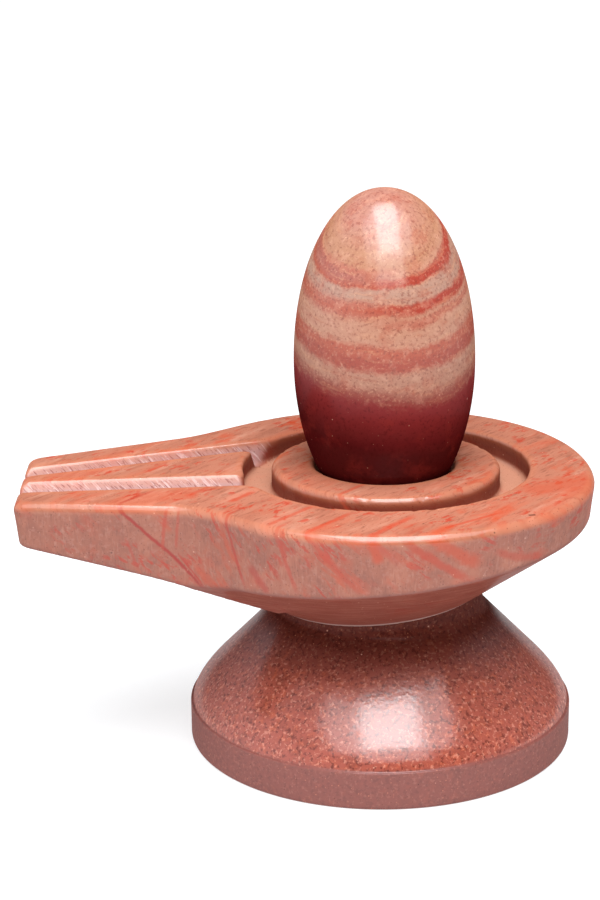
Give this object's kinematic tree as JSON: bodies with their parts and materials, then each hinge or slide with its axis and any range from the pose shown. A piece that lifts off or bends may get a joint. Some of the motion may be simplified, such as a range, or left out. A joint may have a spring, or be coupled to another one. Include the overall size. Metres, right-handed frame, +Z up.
{
  "type": "shiva lingam stone on a spouted stone base",
  "caption": "Egg-shaped banded river stone standing in the ringed socket of a carved stone dish with a moat, drain channels and spout, on a bell-shaped stone foot.",
  "frame": {"origin": "centre of the foot's round underside, on the surface that the object stands on", "axes": "+Z up along the foot's axis; the dish's spout points along -X; +Y is the dish's far side as seen with the spout on the left"},
  "size_m": [0.1531, 0.1116, 0.1505],
  "materials": {
    "banded_river_stone": "polished cryptocrystalline quartz with warm bands over a maroon lower third",
    "spouted_dish_stone": "waxed red sandstone with darker veins and a soft gloss",
    "foot_stone": "waxed dark red speckled sandstone with a soft gloss"
  },
  "bodies": {
    "root": {"lingam": "banded_river_stone", "yoni_plate": "spouted_dish_stone", "pedestal": "foot_stone"}
  },
  "joints": []
}
